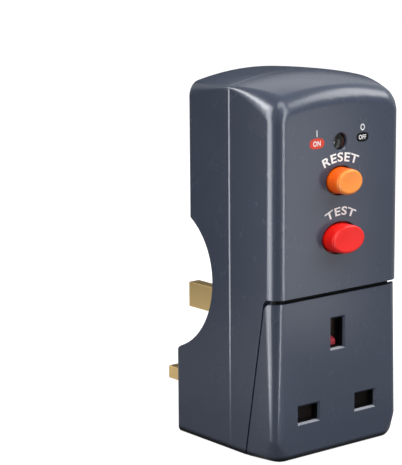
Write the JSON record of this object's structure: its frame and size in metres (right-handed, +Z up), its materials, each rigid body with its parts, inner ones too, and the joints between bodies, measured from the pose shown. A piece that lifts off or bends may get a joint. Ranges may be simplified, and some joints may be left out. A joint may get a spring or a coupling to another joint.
{
  "type": "rcd adapter plug",
  "caption": "Plug-in residual current adapter: three-pin plug behind, shuttered socket in front, reset and test buttons over a trip mechanism.",
  "frame": {"origin": "on the plug face, midway in height between the earth pin and the two lower pins", "axes": "+X to the right seen from the front, +Y out of the plug face along the pins, +Z up"},
  "size_m": [0.0488, 0.0734, 0.1106],
  "materials": {
    "case": "satin, fine grain",
    "steel": "plated",
    "brass": "drawn, satin",
    "sleeve": "satin",
    "bronze": "rolled spring bronze",
    "silver": "silver alloy tips",
    "moulding": "dark heat-resistant moulding",
    "legend_white": "pad printed",
    "copper": "enamelled copper wire",
    "ferrite": "sintered",
    "board": "resist coated board",
    "component_black": "moulded",
    "component_blue": "dipped coating",
    "capacitor_sleeve": "shrink sleeve",
    "resistor_beige": "lacquered",
    "shutter_red": "moulded",
    "marker_orange": "printed",
    "reset_orange": "satin gloss",
    "test_red": "satin gloss",
    "window_clear": "clear moulding"
  },
  "bodies": {
    "housing": {"rear_housing": "case", "front_cover": "case", "socket_front": "case", "housing_screws": "steel", "line_pin": "brass", "neutral_pin": "brass", "earth_pin": "brass", "line_pin_sleeve": "sleeve", "neutral_pin_sleeve": "sleeve", "line_socket_contact": "bronze", "neutral_socket_contact": "bronze", "earth_socket_contact": "bronze", "contact_carrier": "moulding", "carrier_screws": "steel", "earth_bar": "brass", "line_supply_bar": "brass", "neutral_supply_bar": "brass", "line_load_bar": "brass", "neutral_load_bar": "brass", "fixed_contact_tips": "silver", "shutter_springs": "steel", "mechanism_frame": "moulding", "contact_base": "moulding", "base_screws": "steel", "reset_spring": "steel", "test_spring": "steel", "carriage_springs": "steel", "test_terminals": "brass", "coil_bobbin": "moulding", "coil_winding": "copper", "coil_yoke": "steel", "plunger_spring": "steel", "latch_pin": "steel", "transformer_core": "ferrite", "transformer_winding": "copper", "flag_pin": "steel", "indicator_window": "window_clear", "circuit_board": "board", "detector_chip": "component_black", "varistor": "component_blue", "thyristor": "component_black", "capacitors": "capacitor_sleeve", "resistors": "resistor_beige", "diodes": "component_black"},
    "reset": {"reset_button": "reset_orange"},
    "carriage": {"contact_carriage": "moulding", "line_moving_contact": "bronze", "neutral_moving_contact": "bronze", "moving_contact_tips": "silver"},
    "test": {"test_button": "test_red", "test_contact": "brass"},
    "flag": {"indicator_flag": "component_black", "flag_marker": "marker_orange"},
    "plunger": {"trip_plunger": "steel"},
    "latch": {"latch_lever": "moulding"},
    "shutter": {"shutter": "shutter_red"}
  },
  "joints": [
    {"name": "reset_press", "type": "slide", "parent": "housing", "child": "reset", "axis": [0, 1, 0], "range_m": [0, 0.0026], "stiffness_N_per_m": 400, "deforming": ["reset_spring"]},
    {"name": "carriage_slide", "type": "slide", "parent": "housing", "child": "carriage", "axis": [0, 1, 0], "range_m": [0, 0.0026], "deforming": ["carriage_springs"]},
    {"name": "flag_turn", "type": "hinge", "parent": "housing", "child": "flag", "pos_m": [0, -0.0416, 0.07609], "axis": [0, 1, 0], "range_deg": [0, 26]},
    {"name": "test_press", "type": "slide", "parent": "housing", "child": "test", "axis": [0, 1, 0], "range_m": [0, 0.0016], "stiffness_N_per_m": 400, "deforming": ["test_spring"]},
    {"name": "plunger_slide", "type": "slide", "parent": "housing", "child": "plunger", "axis": [-1, 0, 0], "range_m": [0, 0.0015], "stiffness_N_per_m": 200, "deforming": ["plunger_spring"]},
    {"name": "latch_turn", "type": "hinge", "parent": "housing", "child": "latch", "pos_m": [0.0078, -0.0301, 0.06858], "axis": [0, -1, 0], "range_deg": [0, 15.7]},
    {"name": "shutter_slide", "type": "slide", "parent": "housing", "child": "shutter", "axis": [0, 0, -1], "range_m": [0, 0.0068], "stiffness_N_per_m": 60, "springref_m": -0.004, "deforming": ["shutter_springs"]}
  ],
  "couplings": [
    {"joint": "carriage_slide", "follows": "reset_press", "ratio": 1},
    {"joint": "flag_turn", "follows": "reset_press", "rad_per_m": 174},
    {"joint": "latch_turn", "follows": "plunger_slide", "rad_per_m": 182}
  ]
}
